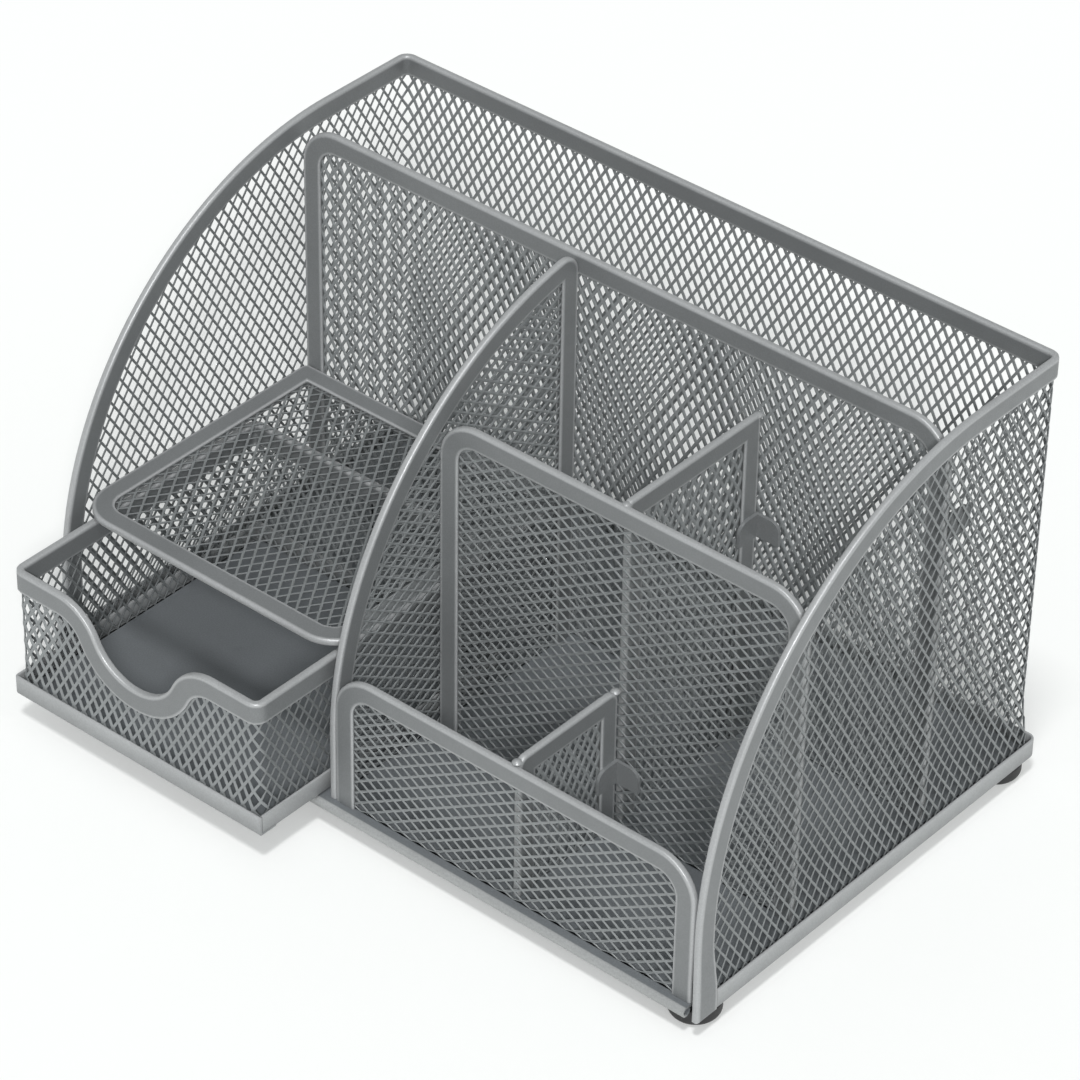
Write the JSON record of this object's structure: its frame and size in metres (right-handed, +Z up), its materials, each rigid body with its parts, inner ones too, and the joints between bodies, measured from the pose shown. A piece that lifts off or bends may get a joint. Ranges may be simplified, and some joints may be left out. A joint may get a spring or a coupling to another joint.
{
  "type": "pen stand with drawer",
  "caption": "Free-standing desk stand of grey metal mesh with curved sides: a letter slot at the back, stepped pen compartments, a shelf and a small drawer below it.",
  "frame": {"origin": "on the desk, under the middle of the stand's outer box with the drawer 24 mm open", "axes": "+Z up, +X to the right seen from the front, the drawer opens towards -Y"},
  "size_m": [0.2234, 0.1634, 0.1326],
  "materials": {
    "mesh_paint": "satin silver-grey powder coat on expanded metal",
    "strip_paint": "satin silver-grey powder coat",
    "sheet_paint": "satin silver-grey powder coat",
    "foot_rubber": "matt black"
  },
  "bodies": {
    "case": {"left_wall_mesh": "mesh_paint", "right_wall_mesh": "mesh_paint", "back_wall_mesh": "mesh_paint", "rear_divider_mesh": "mesh_paint", "partition_mesh": "mesh_paint", "second_divider_mesh": "mesh_paint", "front_panel_mesh": "mesh_paint", "rear_small_divider_mesh": "mesh_paint", "front_small_divider_mesh": "mesh_paint", "shelf_mesh": "mesh_paint", "left_side_frame": "strip_paint", "right_side_frame": "strip_paint", "back_top_rail": "strip_paint", "base_rim": "strip_paint", "rear_divider_frame": "strip_paint", "partition_frame": "strip_paint", "second_divider_frame": "strip_paint", "front_panel_frame": "strip_paint", "rear_small_divider_frame": "strip_paint", "front_small_divider_frame": "strip_paint", "shelf_frame": "strip_paint", "angle_tabs": "strip_paint", "floor_plate": "sheet_paint", "rubber_feet": "foot_rubber"},
    "drawer": {"drawer_front_mesh": "mesh_paint", "drawer_back_mesh": "mesh_paint", "drawer_left_mesh": "mesh_paint", "drawer_right_mesh": "mesh_paint", "drawer_top_rim": "strip_paint", "drawer_bottom_rim": "strip_paint", "drawer_floor": "sheet_paint"}
  },
  "joints": [
    {"name": "drawer_slide", "type": "slide", "parent": "case", "child": "drawer", "axis": [0, -1, 0], "range_m": [-0.024, 0.046]}
  ]
}
